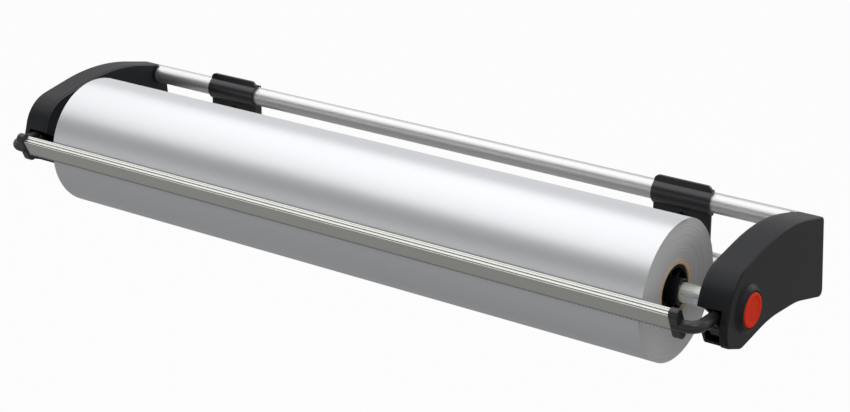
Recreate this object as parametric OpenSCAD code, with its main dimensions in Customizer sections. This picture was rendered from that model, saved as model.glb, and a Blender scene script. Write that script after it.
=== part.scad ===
// Wall-mounted gift wrap paper cutter: one paper roll between two moulded housings, with a sprung cutter bar.
// Origin: on the wall, midway between the two wall clips, at the height of the axle. +X along the roll,
// +Y into the wall, +Z up. Millimetres.

/* [Roll] */
// Width of the paper roll
roll_w = 750; // [500:1:1000]
// Diameter of the full roll
roll_d = 141; // [120:1:150]
// Bore of the cardboard core
core_d = 50; // [48:0.5:52]
// Wall of the cardboard core
core_wall = 6; // [3:0.5:8]
// Diameter of the axle tube
axle_d = 20; // [16:0.5:20]
// Wall of the axle tube
axle_wall = 1.5; // [1:0.25:3]

/* [Frame] */
// Distance from the wall to the axle
wall_dist = 172; // [165:1:200]
// Gap from the roll's end to the side plate
side_gap = 44; // [35:1:60]
// Diameter of the two rear tubes
tube_d = 21; // [18:0.5:21]
// Wall of the rear tubes
tube_wall = 1.5; // [1:0.25:2.5]
// Distance between the two rear tubes, upper to lower
tube_spacing = 64.5; // [60:0.5:65]
// Distance from the wall to the tubes' axes
tube_setback = 19.5; // [19.5:0.5:24]

/* [Housing] */
// Reach of the housing in front of the axle
side_front = 43.5; // [42:0.5:47]
// Height that the housing's outline is drawn for
side_h = 100; // [99:0.5:110]
// Gap from the housing's rear corner to the wall
side_wall_gap = 2; // [1:0.25:2.5]
// Width of the housing at its front end, side plate to outer face
side_w = 34; // [34:0.5:44]
// How much thinner the housing is at its rear end
side_taper = 5.5; // [2:0.5:8]
// Wall of the moulded cover
cover_wall = 2.5; // [2:0.25:3]
// Rounding of the cover's outer edge
cover_round = 4; // [3:0.5:5]
// Thickness of the side plate
plate_t = 3; // [2:0.25:4]

/* [Cutter] */
// Height of the bar's slanted front face
bar_face_h = 16.8; // [14:0.1:18]
// Depth of the bar, front to back
bar_depth = 8.5; // [7.5:0.25:10]
// Length of the holder at each end of the bar
bar_end_t = 9.5; // [6:0.5:12]
// Diameter of the crank arms' rod
arm_d = 12; // [10:0.5:14]
// Thickness of the tear strip
strip_t = 0.8; // [0.5:0.1:1]
// Distance between the teeth of the tear strip
tooth_pitch = 4; // [2.5:0.5:6]

/* [Button] */
// Diameter of the push button
button_d = 34.4; // [28:0.2:35]
// How far the button's face stands in front of the cover
button_proud = 5.5; // [4.5:0.25:6]
// How far the button can be pressed
button_travel = 4; // [2:0.25:4]

/* [Wall clips] */
// Distance from the side plate to the middle of the nearer clip
clip_inset = 121; // [60:1:160]
// Width of a clip
clip_w = 66; // [50:1:80]
// Thickness of a clip's front plate
clip_t = 3; // [2:0.25:4]
// Diameter of the screw holes
clip_hole_d = 5.2; // [4:0.1:6]
// Distance between the two screw holes of a clip
clip_hole_spacing = 24; // [20:1:26]

/* [Hidden] */
$fn = 64;

// Overrun of every cut
over = 1;
// Radial clearance of a shaft in its hole
fit = 0.05;
// Gap between parts that move past each other
gap = 0.3;
// Segments of one rounded corner of the housing's outline
arc_steps = 7;

// Places that several pieces share
axle_y = -wall_dist;
roll_r = roll_d / 2;
roll_end = roll_w / 2;
core_r = core_d / 2;
core_out_r = core_r + core_wall;
axle_r = axle_d / 2;
plate_x = roll_end + side_gap;
cover_x = plate_x + plate_t;
tube_r = tube_d / 2;
tube_bore = tube_r - tube_wall;
tube_y = -tube_setback;
tube_z = tube_spacing / 2;
side_rear = wall_dist - side_wall_gap;

// Place along X of the cover's sloping outer face, at a distance behind the axle
function face_x(y) = plate_x + side_w - side_taper * (y + side_front) / (side_rear + side_front);

// Housing outline, from the upper rear corner forwards: each corner's place as a share of side_rear behind
// the axle or of side_front before it, its height and its rounding as shares of side_h
outline_shares = [[0.947, 0.406, 0.055], [0.45, 0.609, 2.2], [-0.69, 0.385, 0.41], [-1, -0.082, 0.292],
    [-0.89, -0.265, 0.108], [-0.218, -0.372, 0.139], [0.29, -0.274, 1.656], [0.6465, -0.316, 1.2],
    [1, -0.469, 0.065]];
corners = [for (c = outline_shares) [c[0] * (c[0] > 0 ? side_rear : side_front), c[1] * side_h]];
roundings = [for (c = outline_shares) c[2] * side_h];

// Openings at the housing's nose for the crank arm: shares of side_front and of side_h
plate_notch_shares = [[-1.2, 0.16], [-0.56, 0.01], [-0.35, -0.065], [-0.35, -0.12], [-0.62, -0.225],
    [-0.48, -0.34], [-0.45, -0.45], [-1.2, -0.45]];
cover_notch_shares = [[-1.25, 0.185], [-0.56, 0.015], [-0.5, -0.035], [-0.5, -0.12], [-0.6, -0.223],
    [-0.6, -0.45], [-1.25, -0.45]];
window_w = 26;

// Axle bush with its flange, and the axle's end past it
bush_wall = 3;
bush_proud = 1.5;
bush_seat = 4;
flange_w = 2.5;
flange_t = 2;
bush_r = axle_r + fit + bush_wall;
axle_past = 2;
axle_end = cover_x + bush_seat + axle_past;

// Rear tubes: collars on the plate, spigots of the cover in the tubes and the pins through them
collar_t = 1.5;
collar_w = 2;
spigot_r = tube_bore - fit;
tube_end_gap = 1;
tube_end = face_x(tube_y - axle_y) - cover_wall - tube_end_gap;
tube_pin_r = 1.5;
tube_pin_in = 10;

// Cover screws: places as shares of side_rear behind the axle and of side_h above it
screw_shares = [[0.56, 0.22], [0.75, -0.18], [0.15, 0.32]];
screw_places = [for (s = screw_shares) [axle_y + s[0] * side_rear, s[1] * side_h]];
screw_r = 1.7;
screw_head_r = 3.4;
screw_head_h = 1.7;
screw_len = 15;
boss_r = 4.5;

// Arm pivot, measured from the axle; its spring lies between the side plate and the hub
pivot_front = 18;
pivot_drop = 18;
pivot_y = axle_y - pivot_front;
pin_r = 3;
pin_head_r = 5;
pin_head_t = 1.2;
pin_seat = 4;
hub_r = 8;
hub_w = 11;
hub_off = 5;
hub_x = cover_x + hub_off;
hub_end = hub_x + hub_w;
arm_wire_r = 0.55;
arm_spring_r = 4.2;
arm_spring_turns = 2;

// Cutter bar: its section stands before the roll and the drawn sheet, with the tear strip at its foot
sheet_t = 0.5;
sheet_r = roll_r + gap;
bar_ridge_z = 13;
bar_slope = 5.8;
bar_wall = 1.2;
bar_lip = 0.6;
strip_w = 10;
strip_out = 2.5;
tooth_h = 1.5;
bar_back = axle_y - sheet_r - sheet_t - gap;
bar_front = bar_back - bar_depth;
bar_top = bar_ridge_z + bar_slope;
bar_low = bar_ridge_z - bar_face_h;
strip_low = bar_low - strip_out;
strip_y = bar_back - strip_t;
bar_end_x = cover_x - bar_end_t;
groove_w = 1.1;
groove_shares = [0.36, 0.7];
port_r = 2.7;
port_y = bar_front + bar_depth * 0.53;
port_z = bar_ridge_z - port_r * 0.74;
plug_bore_r = 1.6;
plug_len = 15;

// Holders at the bar's ends: two round lobes, the slanted band between them and a plug in the bar
lobe_r = 6;
lobe_depth = 5.1;
lobe_drop = 4.2;
lobe_high = [bar_front + bar_depth - lobe_r * 0.67, bar_top - lobe_r];
lobe_low = [bar_back + lobe_depth, bar_low - lobe_drop];

// Crank arms: a bent rod from the holder into the housing, and a web to the hub
arm_r = arm_d / 2;
arm_off = 18;
arm_x = plate_x + arm_off;
arm_y = bar_back;
arm_z = 1.5;
arm_bend = 12;
arm_reach = 34;
arm_web = 7;
arm_web_t = 8;
spigot_arm_r = 5;
spigot_arm_len = 7.5;

// Push button in its cup, with the collar that stands round it
button_r = button_d / 2;
button_t = 6;
button_gap = 0.5;
button_rim = 4;
button_dish = 0.7;
button_chamfer = 0.8;
button_face = face_x(0) + button_proud;
cup_wall = 3;
cup_r = button_r + button_gap + cup_wall;
cup_floor_t = 2.5;
cup_space = 10;
cup_floor = button_face - button_t - cup_space;
ring_h = 2.5;
ring_chamfer = 1;
stem_r = 5;
stem_end = axle_end + button_travel + gap;
stem_neck_r = 4.2;
clip_ring_r = 7.5;
clip_ring_t = 1;
clip_ring_x = cup_floor - cup_floor_t - gap - clip_ring_t;
button_wire_r = 0.7;
button_spring_r = 7;
button_spring_turns = 4;

// Core adapters in the cardboard core
adapter_recess = 0.5;
adapter_nose = 8;
adapter_w = 22;
adapter_rim = 3;
adapter_hub_wall = 3;
adapter_web = 3;
adapter_web_in = 9;
adapter_spokes = 6;
adapter_spoke_t = 2.4;

// The drawn sheet: how far it goes back over the roll, and how far it lies beyond the roll's right end
sheet_from = 103;
sheet_to = -5.5;
sheet_shift = 4;

// Wall clips: plate before the tubes, a half-round over each, and a block with its foot on the wall
clip_x = plate_x - clip_inset;
clip_ring = 3;
clip_ahead = 6.5;
clip_lip = 8;
clip_corner = 6;
clip_block_w = 40;
clip_foot_t = 9;
clip_foot_h = 76;
countersink_r = 5;
countersink_h = 2.5;

function unit(v) = v / norm(v);

// Points of one rounded corner b of an outline; the corner's centre stays when the outline moves inwards
function corner_arc(a, b, c, r, inset) =
    let (u = unit(a - b), v = unit(c - b), half = acos(u * v) / 2,
        side = sign(cross(b - a, c - b)), centre = b + unit(u + v) * r / sin(half),
        start = atan2(side * u[0], -side * u[1]), sweep = side * (180 - 2 * half))
    [for (i = [0 : arc_steps])
        let (w = start + sweep * i / arc_steps)
        centre + (r - side * inset) * [cos(w), sin(w)]];

// The housing's outline as [distance behind the axle, height], moved inwards by inset
function outline(inset) =
    let (n = len(corners))
    [for (i = [0 : n - 1])
        each corner_arc(corners[(i + n - 1) % n], corners[i], corners[(i + 1) % n], roundings[i], inset)];

// Corners of a convex polygon, moved inwards by d
function inset_corners(p, d) =
    let (n = len(p))
    [for (i = [0 : n - 1])
        let (u = unit(p[(i + n - 1) % n] - p[i]), v = unit(p[(i + 1) % n] - p[i]))
        p[i] + (u + v) * d / abs(cross(u, v))];

// Points given as shares of two lengths
function placed(shares, a, b) = [for (s = shares) [s[0] * a, s[1] * b]];

// Solid with the housing's outline, from rings of [place along X, 1 to follow the outer face, inset]
module loft(rings) {
    n = len(outline(0));
    points = [for (r = rings) for (p = outline(r[2])) [r[0] + r[1] * face_x(p[0]), axle_y + p[0], p[1]]];
    last = (len(rings) - 1) * n;
    sides = [for (k = [0 : len(rings) - 2]) for (i = [0 : n - 1])
        let (a = k * n + i, b = k * n + (i + 1) % n)
        each [[a, a + n, b + n], [a, b + n, b]]];
    first_cap = [for (i = [0 : n - 1]) i];
    last_cap = [for (i = [n - 1 : -1 : 0]) last + i];
    polyhedron(points, concat(sides, [first_cap, last_cap]));
}

// A plate with an outline in the YZ plane, given as [distance behind the axle, height]
module slab(points, x0, x1) {
    translate([x0, axle_y, 0]) rotate([90, 0, 90]) linear_extrude(x1 - x0) polygon(points);
}

// A rod along X, and one that tapers
module rod(r, x0, x1, y = axle_y, z = 0) {
    translate([x0, y, z]) rotate([0, 90, 0]) cylinder(r = r, h = x1 - x0);
}

module taper(r0, r1, x0, x1, y = axle_y, z = 0) {
    translate([x0, y, z]) rotate([0, 90, 0]) cylinder(r1 = r0, r2 = r1, h = x1 - x0);
}

// A tube along X
module pipe(r, bore, x0, x1, y = axle_y, z = 0) {
    difference() {
        rod(r, x0, x1, y, z);
        rod(bore, x0 - over, x1 + over, y, z);
    }
}

module left_hand() {
    mirror([1, 0, 0]) children();
}

// A coil spring along X from the place x0, as one swept wire
wire_sides = 6;
turn_steps = 12;

module spring(r, wire_r, x0, x1, turns, y = axle_y, z = 0) {
    steps = turns * turn_steps;
    first = x0 + wire_r;
    rise = (x1 - x0 - 2 * wire_r) / steps;
    points = [for (i = [0 : steps]) for (j = [0 : wire_sides - 1])
        let (w = 360 * i / turn_steps, q = 360 * j / wire_sides, reach = r + wire_r * cos(q))
        [first + rise * i + wire_r * sin(q), reach * cos(w), reach * sin(w)]];
    sides = [for (i = [0 : steps - 1]) for (j = [0 : wire_sides - 1])
        let (a = i * wire_sides + j, b = i * wire_sides + (j + 1) % wire_sides)
        each [[a, b, b + wire_sides], [a, b + wire_sides, a + wire_sides]]];
    first_cap = [for (j = [wire_sides - 1 : -1 : 0]) j];
    last_cap = [for (j = [0 : wire_sides - 1]) steps * wire_sides + j];
    translate([0, y, z]) polyhedron(points, concat(sides, [first_cap, last_cap]));
}

// Moulded housing cover, open towards the side plate
module housing_cover() {
    edge = [for (w = [0 : 30 : 90]) [-cover_round * (1 - sin(w)), 1, cover_round * (1 - cos(w))]];
    tube_face = face_x(tube_y - axle_y) - cover_wall / 2;
    difference() {
        union() {
            difference() {
                loft(concat([[-cover_wall, 1, cover_wall], [cover_x, 0, cover_wall], [cover_x, 0, 0]], edge));
                for (z = [tube_z, -tube_z]) rod(tube_r + fit, cover_x - over, tube_end, tube_y, z);
                slab(placed(cover_notch_shares, side_front, side_h), cover_x - over, plate_x + window_w);
            }
            for (z = [tube_z, -tube_z]) rod(spigot_r, cover_x, tube_face, tube_y, z);
            for (s = screw_places) rod(boss_r, cover_x, face_x(s[0] - axle_y) - cover_wall / 2, s[0], s[1]);
            rod(hub_r, hub_end + gap, face_x(-pivot_front) - cover_wall / 2, pivot_y, -pivot_drop);
            rod(cup_r, cup_floor - cup_floor_t, face_x(0) + ring_h - ring_chamfer);
            taper(cup_r, cup_r - ring_chamfer, face_x(0) + ring_h - ring_chamfer, face_x(0) + ring_h);
        }
        rod(button_r + button_gap, cup_floor, button_face + over);
        rod(stem_r + fit, cup_floor - cup_floor_t - over, cup_floor + over);
        for (z = [tube_z, -tube_z])
            translate([cover_x + tube_pin_in, tube_y, z])
                cylinder(r = tube_pin_r, h = tube_d + 2 * over, center = true);
        for (s = screw_places) rod(screw_r, cover_x - over, plate_x + screw_len, s[0], s[1]);
        rod(pin_r, hub_end - over, hub_end + gap + pin_seat, pivot_y, -pivot_drop);
    }
}

module left_cover() {
    color("#2b2d30") left_hand() housing_cover();
}

module right_cover() {
    color("#2b2d30") housing_cover();
}

// Side plate that closes the cover, with the seats of the tubes, the axle bush, the screws and the arm's pin
module side_plate() {
    difference() {
        union() {
            slab(outline(gap), plate_x, cover_x);
            intersection() {
                for (z = [tube_z, -tube_z]) rod(tube_r + collar_w, plate_x - collar_t, cover_x, tube_y, z);
                slab(outline(gap), plate_x - collar_t, cover_x);
            }
        }
        for (z = [tube_z, -tube_z]) rod(tube_r + fit, plate_x - collar_t - over, cover_x + over, tube_y, z);
        rod(bush_r, plate_x - over, cover_x + over);
        slab(placed(plate_notch_shares, side_front, side_h), plate_x - over, cover_x + over);
        for (s = screw_places) {
            rod(screw_r, plate_x - over, cover_x + over, s[0], s[1]);
            taper(screw_head_r, screw_r, plate_x, plate_x + screw_head_h, s[0], s[1]);
        }
        rod(pin_r, plate_x - over, cover_x + over, pivot_y, -pivot_drop);
    }
}

module left_side_plate() {
    color("#303236") left_hand() side_plate();
}

module right_side_plate() {
    color("#303236") side_plate();
}

// Rear tube, drilled at both ends for its pins
module rear_tube(z) {
    difference() {
        pipe(tube_r, tube_bore, -tube_end, tube_end, tube_y, z);
        for (side = [-1, 1]) translate([side * (cover_x + tube_pin_in), tube_y, z])
            cylinder(r = tube_pin_r, h = tube_d + 2 * over, center = true);
    }
}

module upper_tube() {
    color("#c9cbce") rear_tube(tube_z);
}

module lower_tube() {
    color("#c9cbce") rear_tube(-tube_z);
}

module tube_pins() {
    for (z = [tube_z, -tube_z]) translate([cover_x + tube_pin_in, tube_y, z])
        cylinder(r = tube_pin_r, h = tube_d, center = true);
}

module left_tube_pins() {
    color("#9a9ca0") left_hand() tube_pins();
}

module right_tube_pins() {
    color("#9a9ca0") tube_pins();
}

module cover_screws() {
    for (s = screw_places) {
        rod(screw_r, plate_x + screw_head_h, plate_x + screw_len - over, s[0], s[1]);
        taper(screw_head_r, screw_r, plate_x, plate_x + screw_head_h, s[0], s[1]);
    }
}

module left_cover_screws() {
    color("#8d8f92") left_hand() cover_screws();
}

module right_cover_screws() {
    color("#8d8f92") cover_screws();
}

// Wall clip: the outline of its front plate has four round corners
module clip_outline(w, h) {
    square([w, h - 2 * clip_corner], center = true);
    square([w - 2 * clip_corner, h], center = true);
    for (x = [-1, 1]) for (z = [-1, 1])
        translate([x * (w / 2 - clip_corner), z * (h / 2 - clip_corner)]) circle(r = clip_corner);
}

module wall_clip() {
    plate_h = tube_spacing + 2 * (tube_r + clip_lip);
    plate_back = tube_y - clip_ahead + clip_t;
    difference() {
        union() {
            translate([clip_x, plate_back, 0]) rotate([90, 0, 0]) linear_extrude(clip_t)
                clip_outline(clip_w, plate_h);
            intersection() {
                for (z = [tube_z, -tube_z])
                    rod(tube_r + clip_ring, clip_x - clip_w / 2, clip_x + clip_w / 2, tube_y, z);
                translate([clip_x - clip_w, tube_y - 2 * tube_d, -plate_h])
                    cube([2 * clip_w, 2 * tube_d, 2 * plate_h]);
            }
            translate([clip_x - clip_block_w / 2, plate_back - clip_t / 2, -tube_z])
                cube([clip_block_w, clip_t / 2 - plate_back, tube_spacing]);
            translate([clip_x - clip_block_w / 2, -clip_foot_t, -clip_foot_h / 2])
                cube([clip_block_w, clip_foot_t, clip_foot_h]);
        }
        for (z = [tube_z, -tube_z])
            rod(tube_r + fit, clip_x - clip_w / 2 - over, clip_x + clip_w / 2 + over, tube_y, z);
        for (z = [-1, 1]) translate([clip_x, over, z * clip_hole_spacing / 2]) rotate([90, 0, 0]) {
            cylinder(r = clip_hole_d / 2, h = over + tube_setback + clip_ahead + over);
            translate([0, 0, over + tube_setback + clip_ahead - countersink_h])
                cylinder(r1 = clip_hole_d / 2, r2 = countersink_r, h = countersink_h);
        }
    }
}

module left_clip() {
    color("#242628") left_hand() wall_clip();
}

module right_clip() {
    color("#242628") wall_clip();
}

// Axle and the bushes that it turns in
module axle_tube() {
    color("#b9bdb8") pipe(axle_r, axle_r - axle_wall, -axle_end, axle_end);
}

module axle_bush() {
    difference() {
        union() {
            rod(bush_r, plate_x - bush_proud, cover_x + bush_seat);
            rod(bush_r + flange_w, cover_x, cover_x + flange_t);
        }
        rod(axle_r + fit, plate_x - bush_proud - over, cover_x + bush_seat + over);
    }
}

module left_axle_bush() {
    color("#1f2022") left_hand() axle_bush();
}

module right_axle_bush() {
    color("#1f2022") axle_bush();
}

// Adapter that carries the core on the axle: rim, web, spokes and the hub, which stands out of the core
module core_adapter() {
    out = roll_end - adapter_recess;
    inner = out - adapter_w;
    hub = axle_r + adapter_hub_wall;
    rim = core_r - adapter_rim;
    pipe(core_r, rim, inner, out);
    pipe(hub, axle_r, inner, roll_end + adapter_nose);
    pipe(rim, hub, out - adapter_web_in - adapter_web, out - adapter_web_in);
    for (k = [0 : adapter_spokes - 1])
        translate([out - adapter_web_in, axle_y, 0]) rotate([360 * k / adapter_spokes, 0, 0])
            translate([0, -adapter_spoke_t / 2, hub - fit])
                cube([adapter_web_in - adapter_web, adapter_spoke_t, rim - hub + 2 * fit]);
}

module left_core_adapter() {
    color("#18191b") left_hand() core_adapter();
}

module right_core_adapter() {
    color("#18191b") core_adapter();
}

module cardboard_core() {
    color("#b58f68") pipe(core_out_r, core_r, -roll_end, roll_end);
}

module paper_roll() {
    color("#b4b7bb") pipe(roll_r, core_out_r, -roll_end, roll_end);
}

// Drawn end of the paper, over the roll and down behind the cutter bar
module leading_sheet() {
    color("#b4b7bb") translate([sheet_shift - roll_end, axle_y, 0]) rotate([0, 90, 0])
        rotate([0, 0, 270 - sheet_from]) rotate_extrude(angle = sheet_from - sheet_to)
        translate([sheet_r, 0]) square([sheet_t, roll_w]);
}

// Cutter bar: a hollow drawn section with two grooves on its slope and a screw port
bar_points = [[bar_front, bar_ridge_z], [bar_front + bar_slope, bar_top], [bar_back, bar_top],
    [bar_back, strip_low + strip_w], [strip_y, strip_low + strip_w], [strip_y, bar_low],
    [strip_y - bar_lip, bar_low]];
hollow_points = [[bar_front, bar_ridge_z], [bar_front + bar_slope, bar_top], [strip_y, bar_top],
    [strip_y, bar_low]];

module bar_section() {
    difference() {
        polygon(bar_points);
        difference() {
            polygon(inset_corners(hollow_points, bar_wall));
            translate([port_y, port_z]) circle(r = port_r);
        }
        translate([port_y, port_z]) circle(r = plug_bore_r);
        for (s = groove_shares) translate([bar_front + s * bar_slope, bar_ridge_z + s * bar_slope])
            rotate(45) square(groove_w, center = true);
    }
}

module cutter_bar() {
    color("#a9aaa6") translate([-bar_end_x, 0, 0]) rotate([90, 0, 90]) linear_extrude(2 * bar_end_x)
        bar_section();
}

module tear_strip() {
    teeth = floor(2 * bar_end_x / tooth_pitch);
    start = -teeth * tooth_pitch / 2;
    top = strip_low + strip_w;
    points = concat([[start, top]],
        [for (i = [0 : teeth - 1]) each [[start + i * tooth_pitch, strip_low + tooth_h],
            [start + (i + 1 / 2) * tooth_pitch, strip_low]]],
        [[-start, strip_low + tooth_h], [-start, top]]);
    color("#6f7173") translate([0, bar_back, 0]) rotate([90, 0, 0]) linear_extrude(strip_t) polygon(points);
}

module bar_holder() {
    slant = unit(lobe_low - lobe_high);
    across = [-slant[1], slant[0]] * lobe_r;
    difference() {
        translate([bar_end_x, 0, 0]) rotate([90, 0, 90]) linear_extrude(bar_end_t) union() {
            translate(lobe_high) circle(r = lobe_r);
            translate(lobe_low) circle(r = lobe_r);
            polygon([lobe_high + across, lobe_high - across, lobe_low - across, lobe_low + across]);
        }
        rod(spigot_arm_r, cover_x - spigot_arm_len, cover_x + over, arm_y, arm_z);
    }
    rod(plug_bore_r - fit, bar_end_x - plug_len, bar_end_x + over, port_y, port_z);
}

module left_bar_end() {
    color("#232528") left_hand() bar_holder();
}

module right_bar_end() {
    color("#232528") bar_holder();
}

// Crank arm: spigot in the holder, bent rod, web and hub
module crank_arm() {
    bend_x = arm_x - arm_bend;
    bend_y = arm_y + arm_bend;
    rod_end = axle_y - arm_reach;
    from = [-arm_reach - arm_web / 2, arm_z];
    to = [-pivot_front, -pivot_drop];
    across = [-unit(to - from)[1], unit(to - from)[0]] * arm_web / 2;
    difference() {
        union() {
            rod(spigot_arm_r, cover_x - spigot_arm_len, cover_x + over, arm_y, arm_z);
            rod(arm_r, cover_x, bend_x, arm_y, arm_z);
            translate([bend_x, bend_y, arm_z]) rotate([0, 0, -90]) rotate_extrude(angle = 90)
                translate([arm_bend, 0]) circle(r = arm_r);
            translate([arm_x, bend_y, arm_z]) rotate([-90, 0, 0]) cylinder(r = arm_r, h = rod_end - bend_y);
            translate([arm_x, rod_end, arm_z]) sphere(r = arm_r);
            slab([from + across, from - across, to - across, to + across],
                hub_end - arm_web_t, hub_end);
            rod(hub_r, hub_x, hub_end, pivot_y, -pivot_drop);
        }
        rod(pin_r + fit, hub_x - over, hub_end + over, pivot_y, -pivot_drop);
    }
}

module left_arm() {
    color("#232528") left_hand() crank_arm();
}

module right_arm() {
    color("#232528") crank_arm();
}

// Pivot pin with its head against the side plate, seated in the cover's boss
module pivot_pin() {
    rod(pin_r, plate_x, hub_end + gap + pin_seat, pivot_y, -pivot_drop);
    rod(pin_head_r, plate_x - pin_head_t, plate_x, pivot_y, -pivot_drop);
}

module left_pivot_pin() {
    color("#9a9ca0") left_hand() pivot_pin();
}

module right_pivot_pin() {
    color("#9a9ca0") pivot_pin();
}

module arm_spring() {
    spring(arm_spring_r, arm_wire_r, cover_x + fit, hub_x - gap, arm_spring_turns, pivot_y, -pivot_drop);
}

module left_arm_spring() {
    color("#8d8f92") left_hand() arm_spring();
}

module right_arm_spring() {
    color("#8d8f92") arm_spring();
}

// Push button with its dished face and its stem towards the axle's end
module button_head() {
    back = button_face - button_t;
    difference() {
        union() {
            rod(button_r, back, button_face - button_chamfer);
            taper(button_r, button_r - button_chamfer, button_face - button_chamfer, button_face);
        }
        rod(button_r - button_rim, button_face - button_dish, button_face + over);
    }
}

module button() {
    color("#c8321f") {
        button_head();
        rod(stem_r, stem_end, clip_ring_x);
        rod(stem_neck_r, clip_ring_x, clip_ring_x + clip_ring_t);
        rod(stem_r, clip_ring_x + clip_ring_t, button_face - button_t);
    }
}

module button_clip() {
    color("#9a9ca0") difference() {
        pipe(clip_ring_r, stem_neck_r, clip_ring_x, clip_ring_x + clip_ring_t);
        translate([clip_ring_x - over, axle_y - stem_neck_r * 0.8, -clip_ring_r - over])
            cube([clip_ring_t + 2 * over, stem_neck_r * 1.6, clip_ring_r + over]);
    }
}

module button_spring() {
    color("#8d8f92")
        spring(button_spring_r, button_wire_r, cup_floor + fit, button_face - button_t - fit,
            button_spring_turns);
}

// Blank cap in the left housing's cup
module left_cap() {
    color("#202225") left_hand() {
        button_head();
        rod(stem_r, cup_floor - cup_floor_t, button_face - button_t);
    }
}

left_cover();
right_cover();
left_side_plate();
right_side_plate();
upper_tube();
lower_tube();
left_clip();
right_clip();
left_tube_pins();
right_tube_pins();
left_cover_screws();
right_cover_screws();
axle_tube();
left_axle_bush();
right_axle_bush();
left_core_adapter();
right_core_adapter();
cardboard_core();
paper_roll();
leading_sheet();
cutter_bar();
tear_strip();
left_bar_end();
right_bar_end();
left_arm();
right_arm();
left_pivot_pin();
right_pivot_pin();
left_arm_spring();
right_arm_spring();
button();
button_spring();
button_clip();
left_cap();
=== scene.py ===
import math
import random

import bmesh
import bpy
from mathutils import Matrix, Vector


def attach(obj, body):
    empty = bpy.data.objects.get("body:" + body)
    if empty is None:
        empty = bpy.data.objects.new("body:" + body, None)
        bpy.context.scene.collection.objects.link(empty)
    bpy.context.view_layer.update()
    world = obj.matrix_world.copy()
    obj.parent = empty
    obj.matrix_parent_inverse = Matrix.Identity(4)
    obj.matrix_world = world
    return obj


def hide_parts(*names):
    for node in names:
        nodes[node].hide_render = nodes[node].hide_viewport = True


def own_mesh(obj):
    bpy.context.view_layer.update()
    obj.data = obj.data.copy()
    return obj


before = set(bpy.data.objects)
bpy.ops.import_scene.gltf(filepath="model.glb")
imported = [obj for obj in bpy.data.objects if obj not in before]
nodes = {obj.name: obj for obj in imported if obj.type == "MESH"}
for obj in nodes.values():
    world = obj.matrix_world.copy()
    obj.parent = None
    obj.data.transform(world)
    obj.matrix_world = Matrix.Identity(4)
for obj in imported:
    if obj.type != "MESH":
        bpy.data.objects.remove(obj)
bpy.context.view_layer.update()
MM = 0.001

# Sizes and places are in millimetres: X runs along the roll, the wall is at y 0, z 0 is the axle's height
AXLE_Y = -172.0
AXLE_END = 428.0
AXLE_R = 10.0
AXLE_BORE_R = 8.5
ROLL_R = 70.5
ROLL_END = 375.0
CORE_R = 31.0
CORE_BORE_R = 25.05

# Housings: side plate, cover, reach behind and before the axle, depth along X and its loss to the rear
PLATE_X = 419.0
COVER_X = 422.0
SIDE_REAR = 170.0
SIDE_FRONT = 43.5
SIDE_H = 100.0
SIDE_W = 34.0
SIDE_TAPER = 5.5
COVER_WALL = 2.5
COVER_ROUND = 2.2
COVER_LIP = 0.35

# Corners of a housing's side, anticlockwise: y as a share of the reach, z and rounding as shares of SIDE_H
SIDE_CORNERS = [
    (0.947, 0.406, 0.055), (0.45, 0.609, 2.2), (-0.69, 0.385, 0.41),
    (-1, -0.082, 0.292), (-0.89, -0.265, 0.108), (-0.218, -0.372, 0.139),
    (0.29, -0.274, 1.656), (0.6465, -0.316, 1.2), (1, -0.469, 0.065),
]
# Corners of the arm's window in the nose: y as a share of SIDE_FRONT, and z
WINDOW_CORNERS = [
    (-1.25, -45.0), (-0.6, -45.0), (-0.6, -22.3), (-0.5, -12.0), (-0.5, -3.5), (-0.56, 1.5), (-1.25, 18.5),
]
WINDOW_W = 26.0

# Rear tubes, the necks at their ends inside the housings, and the upright pins that hold them
TUBE_Y = -19.5
TUBE_Z = 32.25
TUBE_R = 10.5
TUBE_BORE_R = 9.0
NECK_R = 8.7
NECK_BORE_R = 7.4
PIN_X = 432.0
PIN_R = 1.5
PIN_REACH = 9.2

# Cutter bar and its holders; in the section the top is at the back and the ridge at the front
BAR_END = 412.5
BAR_BACK = -243.6
BAR_FRONT = BAR_BACK - 8.5
BAR_LOW = -3.8
BAR_TOP = 16.3
BAR_RIDGE = 11.4
STRIP_Y = BAR_BACK - 0.8
STRIP_TOP = 3.7
HOLDER_R = 6.0
HOLDER_END = 422.0

# Crank arms: the rod at the bar's height, and the pivot inside the housings
ARM_X = 437.0
ARM_Z = 1.5
ARM_R = 6.0
ARM_BEND = 12.0
PIVOT_Y = AXLE_Y - 18.0
PIVOT_Z = -18.0

# Button with its stem and spring, and the cup and collar in the housing
BUTTON_R = 17.2
BUTTON_PROUD = 5.5
BUTTON_T = 6.0
STEM_R = 5.0
STEM_END = 432.3
CLIP_X = 437.58
CLIP_T = 1.0
CLIP_NECK_R = 4.2
CUP_DEPTH = 16.0
CUP_WALL = 2.5
COLLAR_GAP = 0.55
COLLAR_H = 4.9
COLLAR_FLANK = 6.3
SPRING_X0 = 441.52
SPRING_X1 = 451.24
SPRING_R = 7.0
SPRING_WIRE_R = 0.7
SPRING_TURNS = 4


def face_x(y):
    """The housing's sloping outer face: its x at a distance y behind the axle."""
    return PLATE_X + SIDE_W - SIDE_TAPER * (y + SIDE_FRONT) / (SIDE_REAR + SIDE_FRONT)


FACE_X = face_x(0)
BUTTON_FACE = FACE_X + BUTTON_PROUD
BUTTON_HEAD = BUTTON_FACE - BUTTON_T
CUP_FLOOR = BUTTON_FACE - CUP_DEPTH


# Materials
def material(name, base, rough, metal=0.0, spec=0.5):
    made = bpy.data.materials.new(name)
    made.use_nodes = True
    tree = made.node_tree
    shader = tree.nodes["Principled BSDF"]
    shader.inputs["Base Color"].default_value = (*base, 1)
    shader.inputs["Roughness"].default_value = rough
    shader.inputs["Metallic"].default_value = metal
    shader.inputs["Specular IOR Level"].default_value = spec
    return made, tree, shader


def link(tree, source, target):
    tree.links.new(source, target)


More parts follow.
